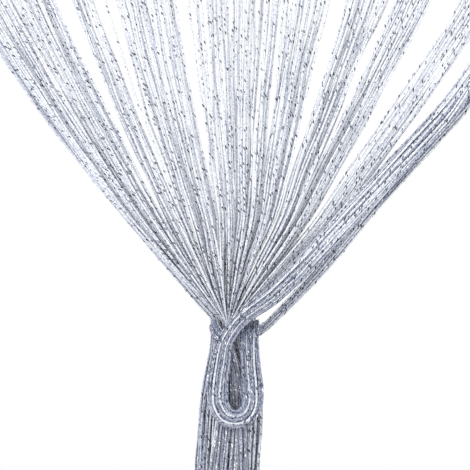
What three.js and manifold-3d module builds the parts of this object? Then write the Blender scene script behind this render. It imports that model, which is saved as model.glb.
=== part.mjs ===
// String door curtain: a sewn rod pocket, and under it a fringe of loose tinsel strings that is
// tied up in one knot of its own strings, with a loop hanging from the knot and a tail below it.
// Millimetres, +Z up, +X to the right and +Y to the back. The origin is the middle of the top edge.

import * as THREE from 'three';
import { mergeVertices } from 'three/addons/utils/BufferGeometryUtils.js';
import Module from 'manifold-3d';

const wasm = await Module();
wasm.setup();

// Rod pocket: a folded tape, round where the rod goes and sewn flat along its hem
const curtainWidth = 1000;
const pocketRadius = 13;
const tapeThickness = 1.5;
const pocketHeight = 40;
const hemHeight = 5;
const hemThickness = 4;
const pocketArcSteps = 14;

// Header strip that holds the tops of the strings, just under the pocket's hem
const stripGap = 0.3;
const stripHeight = 8;
const stripThickness = 3;
const rootDepth = 4;

// Strings
const stringLength = 1950;
const stringRadius = 0.85;
const rootMargin = 5;
const endStagger = 7;

// The knot's reference point, where the strings meet in front. All that follows is measured from it.
const knot = new THREE.Vector3(-15, 0, -750);

// Fan above the knot. A string hangs a little slack, so the fan's two edges are parabolas:
// each edge's distance from the knot's centre line is start + slope * h - bend * h^2.
const fanLeft = { start: 22, slope: 0.90, bend: 0.00041 };
const fanRight = { start: 45, slope: 0.97, bend: 0.0004 };
const fanLevel = 210;

// How the strings bunch across the fan, as shares of its width from the left edge to the right.
// Between the bunches the fan is open.
const fanBunches = [
  { from: 0.012, to: 0.079, fullness: 1.5 },
  { from: 0.079, to: 0.118, fullness: 0.9 },
  { from: 0.118, to: 0.166, fullness: 1.5 },
  { from: 0.192, to: 0.231, fullness: 1.5 },
  { from: 0.264, to: 0.371, fullness: 1.0 },
  { from: 0.391, to: 0.429, fullness: 0.6 },
  { from: 0.429, to: 0.514, fullness: 1.0 },
  { from: 0.519, to: 0.543, fullness: 1.4 },
  { from: 0.551, to: 0.629, fullness: 1.0 },
  { from: 0.659, to: 0.721, fullness: 1.5 },
  { from: 0.737, to: 0.800, fullness: 1.4 },
  { from: 0.846, to: 0.905, fullness: 1.1 },
];

// Strings that fall straight through the knot: how many lie in each layer, from front to back
const throughLayers = [8, 10, 12, 13, 15, 15, 15, 15, 13, 12, 10, 8];
const throughLayerPitch = 2.1;
const throughLevels = [
  { z: 12, middle: -5.5, pitch: 1.95 },
  { z: -12, middle: -5.5, pitch: 1.95 },
  { z: -60, middle: -0.5, pitch: 3.7 },
  { z: -160, middle: -4, pitch: 4.25 },
];
const funnelDrop = 0.013;
const tailEnd = { middle: -4, pitch: 5.4 };

// Strings that make the loop: a flat band, this many strings wide and deep
const loopBand = { wide: 7, deep: 4, widePitch: 2.5, deepPitch: 2.1 };
const loopLeftArm = -13.5;
const loopRightArm = 20.5;
const loopBend = -76;
const loopFront = -28;
const loopArcSteps = 5;

// Strings that wrap the knot from behind: a thin band
const wrapBand = { wide: 6, deep: 2, widePitch: 2.2, deepPitch: 2.1 };

const stringFinish = new THREE.MeshStandardMaterial({ color: 0xb3bccb, roughness: 0.45, metalness: 0.35 });
const tapeFinish = new THREE.MeshStandardMaterial({ color: 0xc2c8d3, roughness: 0.75, metalness: 0.05 });

const stripTop = -pocketHeight - stripGap;
const stripBottom = stripTop - stripHeight;

// A place given from the knot's reference point
function fromKnot(x, y, z) {
  return new THREE.Vector3(knot.x + x, knot.y + y, knot.z + z);
}

// Place across the fan at height h above the knot, for a share of its width
function fanX(share, h) {
  const left = fanLeft.start + fanLeft.slope * h - fanLeft.bend * h * h;
  const right = fanRight.start + fanRight.slope * h - fanRight.bend * h * h;
  return THREE.MathUtils.lerp(-left, right, share);
}

// A string's centre line, which turns at each of its points
class StringPath extends THREE.Curve {
  constructor(points) {
    super();
    this.points = points;
  }

  // Equal steps along the curve fall on its points
  getUtoTmapping(u) {
    return u;
  }

  getPoint(t, target = new THREE.Vector3()) {
    const last = this.points.length - 1;
    const index = Math.min(Math.floor(t * last), last - 1);
    return target.lerpVectors(this.points[index], this.points[index + 1], t * last - index);
  }

  getTangent(t, target = new THREE.Vector3()) {
    const last = this.points.length - 1;
    const index = Math.round(t * last);
    target.set(0, 0, 0);
    if (index > 0) target.add(direction(this.points[index - 1], this.points[index]));
    if (index < last) target.add(direction(this.points[index], this.points[index + 1]));
    return target.normalize();
  }
}

function direction(from, to) {
  return new THREE.Vector3().subVectors(to, from).normalize();
}

// Deals strings out to layers in turn, so that each layer ends with its own count and its strings
// keep their order from left to right
function dealToLayers(counts) {
  const total = counts.reduce((sum, count) => sum + count, 0);
  const credit = counts.map(() => 0);
  const dealt = counts.map(() => 0);
  const slots = [];
  for (let string = 0; string < total; string++) {
    counts.forEach((count, layer) => {
      credit[layer] += count;
    });
    const layer = credit.indexOf(Math.max(...credit));
    credit[layer] -= total;
    slots.push({ layer, column: dealt[layer] - (counts[layer] - 1) / 2 });
    dealt[layer] += 1;
  }
  return slots;
}

// Shares of the fan's width for a number of strings, bunched as the table says
function bunchedShares(count) {
  const total = fanBunches.reduce((sum, bunch) => sum + (bunch.to - bunch.from) * bunch.fullness, 0);
  const shares = [];
  for (let string = 0; string < count; string++) {
    let left = ((string + 0.5) / count) * total;
    let index = 0;
    while (left > (fanBunches[index].to - fanBunches[index].from) * fanBunches[index].fullness) {
      left -= (fanBunches[index].to - fanBunches[index].from) * fanBunches[index].fullness;
      index += 1;
    }
    shares.push(fanBunches[index].from + left / fanBunches[index].fullness);
  }
  return shares;
}

// Strings through the knot, from the fan's level down to the tail
function throughStrings() {
  const slots = dealToLayers(throughLayers);
  const shares = bunchedShares(slots.length);
  return slots.map((slot, string) => {
    const y = (slot.layer - (throughLayers.length - 1) / 2) * throughLayerPitch;
    const column = slot.column + (slot.layer % 2) / 2 - 0.25;
    const points = [fromKnot(fanX(shares[string], fanLevel), y, fanLevel)];
    throughLevels.forEach((level, index) => {
      const across = column * level.pitch;
      const drop = index === 0 ? funnelDrop * across * across : 0;
      points.push(fromKnot(level.middle + across, y, level.z - drop));
    });
    return { points, end: { x: tailEnd.middle + column * tailEnd.pitch, y } };
  });
}

// Carries a band of parallel strings along its middle line. Each string runs parallel to the line
// and turns on the plane that halves the line's corner, so the strings keep their distances.
function carryBand(line, band, acrossStart) {
  const start = direction(line[0], line[1]);
  const across = acrossStart.clone().addScaledVector(start, -acrossStart.dot(start)).normalize();
  const through = new THREE.Vector3().crossVectors(start, across);
  const strings = [];
  for (let string = 0; string < band.wide * band.deep; string++) {
    const column = Math.floor(string / band.deep) - (band.wide - 1) / 2;
    const layer = (string % band.deep) - (band.deep - 1) / 2;
    let point = line[0].clone();
    point.addScaledVector(across, -column * band.widePitch);
    point.addScaledVector(through, layer * band.deepPitch);
    const points = [point];
    for (let corner = 1; corner < line.length; corner++) {
      const run = direction(line[corner - 1], line[corner]);
      const halfway = run.clone();
      if (corner < line.length - 1) halfway.add(direction(line[corner], line[corner + 1])).normalize();
      const step = new THREE.Vector3().subVectors(line[corner], point).dot(halfway) / run.dot(halfway);
      point = point.clone().addScaledVector(run, step);
      points.push(point);
    }
    strings.push({ points, column, layer });
  }
  return strings;
}

// Adds the tail to each string of a band, which opens out as it falls
function addTail(strings, band, tail) {
  return strings.map(({ points, column, layer }) => {
    const y = tail.y - layer * band.deepPitch;
    const tailPoints = tail.levels.map(({ z, middle, pitch }) => fromKnot(middle - column * pitch, y, z));
    const last = tail.levels[tail.levels.length - 1];
    return { points: [...points, ...tailPoints], end: { x: last.middle - column * last.pitch, y } };
  });
}

// Strings of the loop: over the knot's front, down and round the loop, up into the hollow beside
// the strings that fall through, out at the back and down behind the tail
function loopStrings() {
  const middle = (loopLeftArm + loopRightArm) / 2;
  const radius = (loopRightArm - loopLeftArm) / 2;
  const line = [
    fromKnot(210, -6, fanLevel),
    fromKnot(41, -23.5, 33),
    fromKnot(6, -24.5, 5),
    fromKnot(-9, -25, -14),
    fromKnot(loopLeftArm, -26.5, -36),
  ];
  for (let step = 0; step <= loopArcSteps; step++) {
    const angle = Math.PI * (1 + step / loopArcSteps);
    line.push(fromKnot(middle + radius * Math.cos(angle), loopFront, loopBend + radius * Math.sin(angle)));
  }
  line.push(
    fromKnot(20, -26, -34),
    fromKnot(19.2, -21, -17),
    fromKnot(18.9, -12, -6),
    fromKnot(18.8, 0, -3),
    fromKnot(18.8, 11, -5),
    fromKnot(18.4, 18, -13),
    fromKnot(17, 19.5, -26),
  );
  const tail = {
    y: 19.5,
    levels: [
      { z: -70, middle: 9, pitch: 3.4 },
      { z: -170, middle: 0, pitch: 4.6 },
    ],
  };
  return addTail(carryBand(line, loopBand, new THREE.Vector3(-0.7, 0, 0.7)), loopBand, tail);
}

// Strings that wrap the knot: behind it from the right, round its left side, across the front
// under the loop's strings, and down the front of the tail
function wrapStrings() {
  const line = [
    fromKnot(222, 7, fanLevel),
    fromKnot(72, 15, 43),
    fromKnot(39, 25, 9),
    fromKnot(14, 27, 1),
    fromKnot(-4, 21.5, 2),
    fromKnot(-18, 15.5, 4),
    fromKnot(-25.5, 6, 5),
    fromKnot(-25.5, -7, 5),
    fromKnot(-17, -15.5, 2.5),
    fromKnot(-6, -17, -4),
    fromKnot(-1, -17, -17),
  ];
  const tail = {
    y: -17,
    levels: [
      { z: -65, middle: 0, pitch: 4 },
      { z: -165, middle: -4, pitch: 7 },
    ],
  };
  return addTail(carryBand(line, wrapBand, new THREE.Vector3(-0.7, 0, 0.7)), wrapBand, tail);
}

// Whole strings: each starts at its root in the strip, and its free end falls where its length
// runs out, so strings with a longer way through the fan and the knot end higher
export function stringLines() {
  const strings = [...throughStrings(), ...loopStrings(), ...wrapStrings()];
  const rootPitch = (curtainWidth - 2 * rootMargin) / (strings.length - 1);
  return strings.map(({ points, end }, index) => {
    const root = new THREE.Vector3(rootMargin - curtainWidth / 2 + index * rootPitch, 0, stripBottom + rootDepth);
    const line = [root, ...points];
    let used = -rootDepth;
    for (let corner = 1; corner < line.length; corner++) {
      used += line[corner - 1].distanceTo(line[corner]);
    }
    const stagger = endStagger * Math.sin(index * 2.4);
    line.push(fromKnot(end.x, end.y, line[line.length - 1].z - knot.z - (stringLength - used) - stagger));
    return line;
  });
}

// One string: a three-sided solid along its line
function stringGeometry(line) {
  const section = new THREE.Shape();
  for (let side = 0; side < 3; side++) {
    const angle = (side * 2 * Math.PI) / 3;
    const x = stringRadius * Math.cos(angle);
    const y = stringRadius * Math.sin(angle);
    if (side === 0) section.moveTo(x, y);
    else section.lineTo(x, y);
  }
  section.closePath();
  const extrudePath = new StringPath(line);
  return new THREE.ExtrudeGeometry(section, { steps: line.length - 1, extrudePath, bevelEnabled: false });
}

function toSolid(geometry) {
  const bare = geometry.clone();
  bare.deleteAttribute('normal');
  bare.deleteAttribute('uv');
  const merged = mergeVertices(bare, 1e-4);
  return new wasm.Manifold(new wasm.Mesh({
    numProp: 3,
    vertProperties: new Float32Array(merged.attributes.position.array),
    triVerts: new Uint32Array(merged.index.array),
  }));
}

function toGeometry(solid) {
  const mesh = solid.getMesh();
  const geometry = new THREE.BufferGeometry();
  geometry.setAttribute('position', new THREE.Float32BufferAttribute(mesh.vertProperties, 3));
  geometry.setIndex(new THREE.Uint32BufferAttribute(mesh.triVerts, 1));
  geometry.computeVertexNormals();
  return geometry;
}

// The strings' roots are fused into the header strip
function fringeMesh() {
  const strip = new THREE.BoxGeometry(curtainWidth, stripThickness, stripHeight);
  strip.translate(0, 0, (stripTop + stripBottom) / 2);
  let fringe = toSolid(strip);
  for (const line of stringLines()) {
    fringe = fringe.add(toSolid(stringGeometry(line)));
  }
  const mesh = new THREE.Mesh(toGeometry(fringe), stringFinish);
  mesh.name = 'string_fringe';
  return mesh;
}

// Section of the tape round the rod: a round top, and two sides that close on the sewn hem
function pocketOutline(path, radius, foot) {
  const middle = -pocketRadius;
  const lean = Math.asin((radius - foot.halfWidth) / (foot.depth - pocketRadius));
  path.moveTo(foot.halfWidth, -foot.depth);
  for (let step = 0; step <= pocketArcSteps; step++) {
    const angle = -lean + (step / pocketArcSteps) * (Math.PI + 2 * lean);
    path.lineTo(radius * Math.cos(angle), middle + radius * Math.sin(angle));
  }
  path.lineTo(-foot.halfWidth, -foot.depth);
  return path;
}

function sleeveMesh() {
  const hemTop = pocketHeight - hemHeight;
  const section = pocketOutline(new THREE.Shape(), pocketRadius, { halfWidth: hemThickness / 2, depth: hemTop });
  section.lineTo(-hemThickness / 2, -pocketHeight);
  section.lineTo(hemThickness / 2, -pocketHeight);
  section.closePath();
  const hollow = pocketOutline(
    new THREE.Path(),
    pocketRadius - tapeThickness,
    { halfWidth: hemThickness / 2 - tapeThickness, depth: hemTop },
  );
  hollow.closePath();
  section.holes.push(hollow);
  const geometry = new THREE.ExtrudeGeometry(section, { depth: curtainWidth, bevelEnabled: false });
  geometry.translate(0, 0, -curtainWidth / 2);
  const mesh = new THREE.Mesh(geometry, tapeFinish);
  mesh.name = 'rod_sleeve';
  mesh.rotation.set(Math.PI / 2, Math.PI / 2, 0);
  return mesh;
}

const curtain = new THREE.Group();
curtain.add(sleeveMesh(), fringeMesh());

export default curtain;
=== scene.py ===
"""A string door curtain tied up in its own knot, dressed around its fixed frame.

A folded tape makes the rod pocket, a narrow header tape under it locks in the tops of the loose
tinsel strings, and the strings fan in to one knot, throw a loop to the front and fall as a tail.
Lengths are metres. The strings' tables are measured from the knot's reference point.
"""

from __future__ import annotations

import logging
import math
from collections.abc import Sequence
from dataclasses import dataclass, field
from enum import Enum

import bpy
import numpy as np
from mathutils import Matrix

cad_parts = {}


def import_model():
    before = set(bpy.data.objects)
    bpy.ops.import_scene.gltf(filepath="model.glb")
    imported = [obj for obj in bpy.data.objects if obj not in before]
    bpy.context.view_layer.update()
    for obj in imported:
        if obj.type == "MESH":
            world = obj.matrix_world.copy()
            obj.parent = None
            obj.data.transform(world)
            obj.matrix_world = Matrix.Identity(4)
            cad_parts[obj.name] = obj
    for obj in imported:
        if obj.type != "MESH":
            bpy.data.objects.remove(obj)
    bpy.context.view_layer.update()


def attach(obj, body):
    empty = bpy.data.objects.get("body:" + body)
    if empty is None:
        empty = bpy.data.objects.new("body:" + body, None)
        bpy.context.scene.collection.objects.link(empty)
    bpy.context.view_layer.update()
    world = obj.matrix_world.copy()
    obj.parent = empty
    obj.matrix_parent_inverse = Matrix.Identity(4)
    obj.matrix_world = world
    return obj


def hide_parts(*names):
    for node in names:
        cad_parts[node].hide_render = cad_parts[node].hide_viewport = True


LOG = logging.getLogger("curtain")
MM = 0.001
TINY = 1e-18
MIX_COLOURS = (6, 7)
MIX_RESULT = 2
Colour = tuple[float, float, float]
Pair = tuple[float, float]
Point = tuple[float, float, float]
Row = tuple[float, ...]


class Axis(Enum):
    """A direction that a loose string can wander in."""

    ACROSS = 0
    BACK = 1


class Glint(Enum):
    """How a sliver of foil catches the light."""

    DARK = "dark"
    BRIGHT = "bright"


# Shader maths


class Signal:
    """A number, colour or vector on its way through a material's nodes."""

    def __init__(self, board: Board, socket: bpy.types.NodeSocket) -> None:
        """Wraps one output.

        Args:
            board: The board of nodes that the output belongs to.
            socket: The output socket.
        """
        self.board = board
        self.socket = socket

    def __add__(self, other: Signal | float) -> Signal:
        """Sum."""
        return self.board.maths("ADD", self, other)

    def __sub__(self, other: Signal | float) -> Signal:
        """Difference."""
        return self.board.maths("SUBTRACT", self, other)

    def __rsub__(self, other: float) -> Signal:
        """Difference, with the number first."""
        return self.board.maths("SUBTRACT", other, self)

    def __mul__(self, other: Signal | float) -> Signal:
        """Product."""
        return self.board.maths("MULTIPLY", self, other)

    def __lt__(self, other: float) -> Signal:
        """1 where this is below the other value, and 0 elsewhere."""
        return self.board.maths("LESS_THAN", self, other)

    def __gt__(self, other: float) -> Signal:
        """1 where this is above the other value, and 0 elsewhere."""
        return self.board.maths("GREATER_THAN", self, other)

    def fraction(self) -> Signal:
        """What follows the decimal point, so that a pattern repeats."""
        return self.board.maths("FRACT", self)

    def wave(self) -> Signal:
        """A sine of this value in turns, from 0 to 1."""
        return self.board.maths("SINE", self * math.tau) * 0.5 + 0.5


Value = Signal | float | Sequence[float]


class Board:
    """The nodes of one material, with short ways to add to them."""

    def __init__(self, name: str) -> None:
        """Starts a material with nothing but its output.

        Args:
            name: The material's name.
        """
        self.material = bpy.data.materials.new(name)
        self.material.use_nodes = True
        self.tree = self.material.node_tree
        self.tree.nodes.clear()

    def node(
        self, kind: str, settings: dict[str, object], inputs: dict[str | int, Value]
    ) -> bpy.types.Node:
        """Adds one node.

        Args:
            kind: The node's type name.
            settings: Its own settings, which are set first.
            inputs: Values or links for its sockets, by name or number.

        Returns:
            The new node.
        """
        made = self.tree.nodes.new(kind)
        for key, value in settings.items():
            setattr(made, key, value)
        for key, value in inputs.items():
            if isinstance(value, Signal):
                self.tree.links.new(value.socket, made.inputs[key])
            else:
                made.inputs[key].default_value = value
        return made

    def out(self, node: bpy.types.Node, name: str | int = 0) -> Signal:
        """One of a node's outputs, as a signal."""
        return Signal(self, node.outputs[name])

    def maths(self, operation: str, *values: Value) -> Signal:
        """A Math node on one, two or three values."""
        return self.out(self.node("ShaderNodeMath", {"operation": operation}, dict(enumerate(values))))

    def mix(self, amount: Value, first: Value, second: Value) -> Signal:
        """Goes from the first colour to the second as amount goes from 0 to 1.

        Args:
            amount: The share of the second colour.
            first: The colour at 0.
            second: The colour at 1.

        Returns:
            The mixed colour.
        """
        inputs = {0: amount}
        for number, colour in zip(MIX_COLOURS, (first, second)):
            inputs[number] = colour if isinstance(colour, Signal) else (*colour, 1.0)
        return self.out(self.node("ShaderNodeMix", {"data_type": "RGBA"}, inputs), MIX_RESULT)

    def smooth(self, value: Signal, low: float, high: float) -> Signal:
        """0 below low, 1 above high, and a soft step between."""
        settings = {"interpolation_type": "SMOOTHSTEP"}
        return self.out(self.node("ShaderNodeMapRange", settings, {0: value, 1: low, 2: high}))

    def spread(self, value: Signal, low: float, high: float) -> Signal:
        """Takes a value of 0 to 1 to the range from low to high."""
        return value * (high - low) + low

    def noise(self, place: Signal, scale: float, detail: float = 2.0, rough: float = 0.5) -> Signal:
        """Soft noise from 0 to 1 at a place.

        Args:
            place: The vector that the noise follows.
            scale: Lumps in a unit of that vector.
            detail: How many finer layers it has.
            rough: How strong the finer layers are.

        Returns:
            The noise.
        """
        inputs = {"Vector": place, "Scale": scale, "Detail": detail, "Roughness": rough}
        return self.out(self.node("ShaderNodeTexNoise", {}, inputs))

    def place(self) -> Signal:
        """The point's place in the curtain's frame."""
        return self.out(self.node("ShaderNodeTexCoord", {}, {}), "Object")

    def lay(self) -> tuple[Signal, Signal]:
        """The two numbers of the piece's own map.

        Returns:
            The place round or across the thread, and the place along it.
        """
        uv = self.out(self.node("ShaderNodeTexCoord", {}, {}), "UV")
        parts = self.node("ShaderNodeSeparateXYZ", {}, {0: uv})
        return self.out(parts, 0), self.out(parts, 1)

    def vector(self, x: Value, y: Value, z: Value) -> Signal:
        """A vector made of three numbers."""
        return self.out(self.node("ShaderNodeCombineXYZ", {}, {0: x, 1: y, 2: z}))

    def attribute(self, name: str) -> Signal:
        """A number that is stored on the piece's points."""
        return self.out(self.node("ShaderNodeAttribute", {"attribute_name": name}, {}), "Fac")

    def bump(self, height: Signal, depth: float) -> Signal:
        """Relief from a height of 0 to 1.

        Args:
            height: The height over the surface.
            depth: How deep it is, in metres.

        Returns:
            The bent normal.
        """
        inputs = {"Height": height, "Distance": depth, "Strength": 1.0}
        return self.out(self.node("ShaderNodeBump", {}, inputs))

    def finish(self, inputs: dict[str, Value]) -> bpy.types.Material:
        """Closes the board with the surface shader.

        Args:
            inputs: The shader's sockets and their values or links.

        Returns:
            The finished material.
        """
        shader = self.node("ShaderNodeBsdfPrincipled", {}, inputs)
        output = self.tree.nodes.new("ShaderNodeOutputMaterial")
        self.tree.links.new(shader.outputs[0], output.inputs[0])
        return self.material


# Finishes


@dataclass(frozen=True)
class StringFinish:
    """Soft fluffy polyester string with dashes of foil caught in it.

    The first number of a pair holds for a loose string, and the second for one that is packed. Packed
    points are painted darker as shade, and mix towards the navy shade colour.
    """

    name: str = "silver_string"
    pale: Colour = (0.88, 0.90, 0.945)
    # The deep colour is partly the yarn's own darker fibres and partly painted shade in the hollows
    # between tufts.
    deep: Colour = (0.40, 0.44, 0.54)
    # Painted shade colour: a navy that packed points are mixed towards.
    painted_shade_colour: Colour = (0.065, 0.088, 0.185)
    # Painted dark reflection: the silver foil's dashes are given a near-black colour. The spark colour
    # is the foil's own silver.
    foil: Colour = (0.03, 0.035, 0.06)
    spark: Colour = (0.96, 0.97, 1.0)
    tufts_around: float = 3.0
    tuft_length: float = 1.7 * MM
    fluff_detail: Pair = (3.0, 0.65)
    tuft_edges: Pair = (0.38, 0.58)
    tuft_shift: float = 60.0
    tuft_weight: Pair = (0.75, 0.35)
    ply_pitch: float = 2.6 * MM
    ply_shift: float = 5.0
    ply_weight: float = 0.12
    tone_weight: Pair = (0.18, 0.46)
    # Painted shade: these pairs make a packed string darker, with darker hollows between its tufts,
    # than a loose one.
    base_light: Pair = (0.2, 0.3)
    full_light: float = 0.9
    light_gain: Pair = (0.7, 1.05)
    light_lift: Pair = (0.2, 0.0)
    painted_shade_by_tuft: Pair = (1.02, 0.64)
    dash_pitch: float = 6.2 * MM
    dash_shift: float = 37.0
    draw_shift: float = 91.0
    redraws: Pair = (7.31, 23.7)
    dash_middles: Pair = (0.25, 0.75)
    dash_share: float = 0.27
    dash_width: float = 0.22
    dash_slant: float = 0.5
    dash_rate: float = 0.55
    spark_share: float = 0.28
    packed_gain: float = 0.35
    height_weights: Row = (0.7, 0.3, 0.3)
    relief: float = 0.35 * MM
    rough: Pair = (0.7, 0.25)
    metallic: Pair = (0.05, 0.9)

    def make(self) -> bpy.types.Material:
        """Builds the material.

        Returns:
            The string's material.
        """
        board = Board(self.name)
        around, along = board.lay()
        tone = board.attribute("tone")
        chance = board.attribute("chance")
        packed_shade = board.attribute("packed_shade")
        lengthwise = along * (1.0 / self.tuft_length)
        strand = board.vector(around * self.tufts_around, lengthwise, chance * self.tuft_shift)
        fluff = board.noise(strand, 1.0, *self.fluff_detail)
        tuft = board.smooth(fluff, *self.tuft_edges)
        ply = (along * (1.0 / self.ply_pitch) + around + chance * self.ply_shift).wave()
        dash, spark = self._dashes(board, around, along, chance, packed_shade)
        # Painted shade: packed points get less lift and deeper hollows between tufts.
        shift = tone * board.spread(packed_shade, *self.tone_weight)
        grain = tuft * board.spread(packed_shade, *self.tuft_weight)
        grain = grain + board.spread(packed_shade, *self.base_light) + ply * self.ply_weight
        light = board.smooth(grain + shift, 0.0, self.full_light)
        light = light * board.spread(packed_shade, *self.light_gain)
        light = light + board.spread(packed_shade, *self.light_lift)
        yarn = board.mix(light, self.deep, self.pale)
        # Painted shade: packed points are mixed towards the navy shade colour, less so on their tufts.
        yarn = board.mix(packed_shade * board.spread(tuft, *self.painted_shade_by_tuft), yarn, self.painted_shade_colour)
        foil = board.mix(spark, self.foil, self.spark)
        of_tuft, of_ply, of_dash = self.height_weights
        height = tuft * of_tuft + ply * of_ply + dash * of_dash
        return board.finish(
            {
                "Base Color": board.mix(dash, yarn, foil),
                "Roughness": board.spread(dash, *self.rough),
                "Metallic": board.spread(dash, *self.metallic),
                "Normal": board.bump(height, self.relief),
            }
        )

    def _dashes(
        self, board: Board, around: Signal, along: Signal, chance: Signal, packed_shade: Signal
    ) -> tuple[Signal, Signal]:
        """Short slanted dashes of foil, one in each stretch of the string, at random places.

        Args:
            board: The material's board.
            around: Place round the string, in turns.
            along: Place along the string, in metres.
            chance: The string's own random number.
            packed_shade: How tightly the string is packed, where more of the foil catches the light.

        Returns:
            Where the dashes are, and which of them are bright.
        """
        turns = along * (1.0 / self.dash_pitch) + chance * self.dash_shift
        cell = board.vector(board.maths("FLOOR", turns), chance * self.draw_shift, 0.0)
        settings = {"noise_dimensions": "2D"}
        first = board.out(board.node("ShaderNodeTexWhiteNoise", settings, {"Vector": cell}), "Value")
        second, third = ((first * redraw).fraction() for redraw in self.redraws)
        offset = turns.fraction() - board.spread(first, *self.dash_middles)
        near = board.maths("ABSOLUTE", offset) < self.dash_share
        side = (around + second + offset * self.dash_slant).fraction()
        gain = packed_shade * self.packed_gain
        dash = near * (side < self.dash_width) * ((third - gain) < self.dash_rate)
        return dash, (second - gain) < self.spark_share


@dataclass(frozen=True)
class FoilFinish:
    """A sliver of metallised film."""

    name: str
    colour: Colour
    roughness: float
    crinkle_scale: float = 900.0
    edge_shade: float = 0.6
    rough_range: Pair = (0.7, 1.4)
    relief: float = 0.2 * MM

    def make(self) -> bpy.types.Material:
        """Builds the material.

        Returns:
            The foil's material.
        """
        board = Board(self.name)
        crinkle = board.noise(board.place(), self.crinkle_scale)
        smoother, rougher = (self.roughness * part for part in self.rough_range)
        dull = tuple(self.edge_shade * part for part in self.colour)
        return board.finish(
            {
                "Base Color": board.mix(crinkle, dull, self.colour),
                "Metallic": 1.0,
                "Roughness": board.spread(crinkle, smoother, rougher),
                "Normal": board.bump(crinkle, self.relief),
            }
        )


@dataclass(frozen=True)
class TapeFinish:
    """Closely woven polyester tape with a metallic thread in every few picks."""

    name: str = "silver_tape"
    warp: Colour = (0.52, 0.555, 0.63)
    weft: Colour = (0.36, 0.40, 0.48)
    lurex: Colour = (0.75, 0.78, 0.84)
    warp_pitch: float = 0.9 * MM
    weft_pitch: float = 0.7 * MM
    weave_depth: float = 0.22 * MM
    slub_scales: Pair = (60.0, 900.0)
    slub_share: float = 0.4
    slub_height: float = 0.2
    soil_scale: float = 9.0
    soil_edges: Pair = (0.35, 0.8)
    soil_strength: float = 0.25
    lurex_every: float = 6.0
    lurex_share: float = 0.16
    lurex_scales: Pair = (500.0, 300.0)
    lurex_edges: Pair = (0.45, 0.6)
    rough: Pair = (0.78, 0.3)
    metallic: Pair = (0.0, 0.85)
    sheen: float = 0.2

    def make(self) -> bpy.types.Material:
        """Builds the material.

        Returns:
            The tape's material.
        """
        board = Board(self.name)
        across, along = board.lay()
        warp = (across * (1.0 / self.warp_pitch)).wave()
        weft = (along * (1.0 / self.weft_pitch)).wave()
        turn = (across * (0.5 / self.warp_pitch) + along * (0.5 / self.weft_pitch)).fraction()
        over = turn > 0.5
        thread = over * warp + (1.0 - over) * weft
        slub_across, slub_along = self.slub_scales
        slub = board.noise(board.vector(across * slub_across, along * slub_along, 0.0), 1.0)
        soil = board.noise(board.place(), self.soil_scale, detail=3.0)
        shine = (along * (1.0 / (self.lurex_every * self.weft_pitch))).fraction() < self.lurex_share
        lurex_across, lurex_along = self.lurex_scales
        breaks = board.noise(board.vector(across * lurex_across, along * lurex_along, 0.0), 1.0)
        glint = shine * board.smooth(breaks, *self.lurex_edges)
        light = thread * (1 - self.slub_share) + slub * self.slub_share
        cloth = board.mix(light, self.weft, self.warp)
        worn = board.mix(board.smooth(soil, *self.soil_edges) * self.soil_strength, cloth, self.weft)
        height = thread * (1 - self.slub_height) + slub * self.slub_height
        return board.finish(
            {
                "Base Color": board.mix(glint, worn, self.lurex),
                "Roughness": board.spread(glint, *self.rough),
                "Metallic": board.spread(glint, *self.metallic),
                "Normal": board.bump(height, self.weave_depth),
                "Sheen Weight": self.sheen,
            }
        )


@dataclass(frozen=True)
class ThreadFinish:
    """Smooth sewing thread with a fine twist."""

    name: str = "sewing_thread"
    pale: Colour = (0.66, 0.69, 0.76)
    deep: Colour = (0.40, 0.44, 0.53)
    twist_scales: Pair = (1400.0, 900.0)
    fluff_scale: float = 2500.0
    fluff_share: float = 0.3
    rough: Pair = (0.5, 0.7)
    relief: float = 0.12 * MM

    def make(self) -> bpy.types.Material:
        """Builds the material.

        Returns:
            The thread's material.
        """
        board = Board(self.name)
        place = board.place()
        parts = board.node("ShaderNodeSeparateXYZ", {}, {0: place})
        across, up = self.twist_scales
        twist = (board.out(parts, 0) * across + board.out(parts, 2) * up).wave()
        fluff = board.noise(place, self.fluff_scale)
        light = twist * (1 - self.fluff_share) + fluff * self.fluff_share
        return board.finish(
            {
                "Base Color": board.mix(light, self.deep, self.pale),
                "Roughness": board.spread(fluff, *self.rough),
                "Normal": board.bump(twist, self.relief),
            }
        )


@dataclass(frozen=True)
class WallFinish:
    """Matt white studio paper."""

    name: str = "white_paper"
    colour: Colour = (0.86, 0.86, 0.86)
    grain_scale: float = 40.0
    grain_shade: float = 0.97
    rough: float = 0.9

    def make(self) -> bpy.types.Material:
        """Builds the material.

        Returns:
            The paper's material.
        """
        board = Board(self.name)
        grain = board.noise(board.place(), self.grain_scale, detail=3.0)
        tint = board.mix(grain, tuple(self.grain_shade * part for part in self.colour), self.colour)
        return board.finish({"Base Color": tint, "Roughness": self.rough})


# Mesh helpers


def new_piece(name: str, points: np.ndarray, faces: Sequence[np.ndarray]) -> bpy.types.Object:
    """Makes an object from arrays of faces.

    Args:
        name: The piece's name.
        points: One row for each point.
        faces: Arrays of faces, each with its own number of corners.

    Returns:
        The new object, in the scene and at the origin.
    """
    mesh = bpy.data.meshes.new(name)
    mesh.vertices.add(len(points))
    mesh.vertices.foreach_set("co", np.asarray(points, dtype=np.float32).ravel())
    corners = np.concatenate([group.ravel() for group in faces]).astype(np.int32)
    sizes = np.concatenate([np.full(len(group), group.shape[1]) for group in faces]).astype(np.int32)
    starts = np.concatenate([[0], np.cumsum(sizes)[:-1]]).astype(np.int32)
    mesh.loops.add(len(corners))
    mesh.loops.foreach_set("vertex_index", corners)
    mesh.polygons.add(len(sizes))
    mesh.polygons.foreach_set("loop_start", starts)
    mesh.polygons.foreach_set("loop_total", sizes)
    mesh.update(calc_edges=True)
    piece = bpy.data.objects.new(name, mesh)
    bpy.context.collection.objects.link(piece)
    return piece


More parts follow.
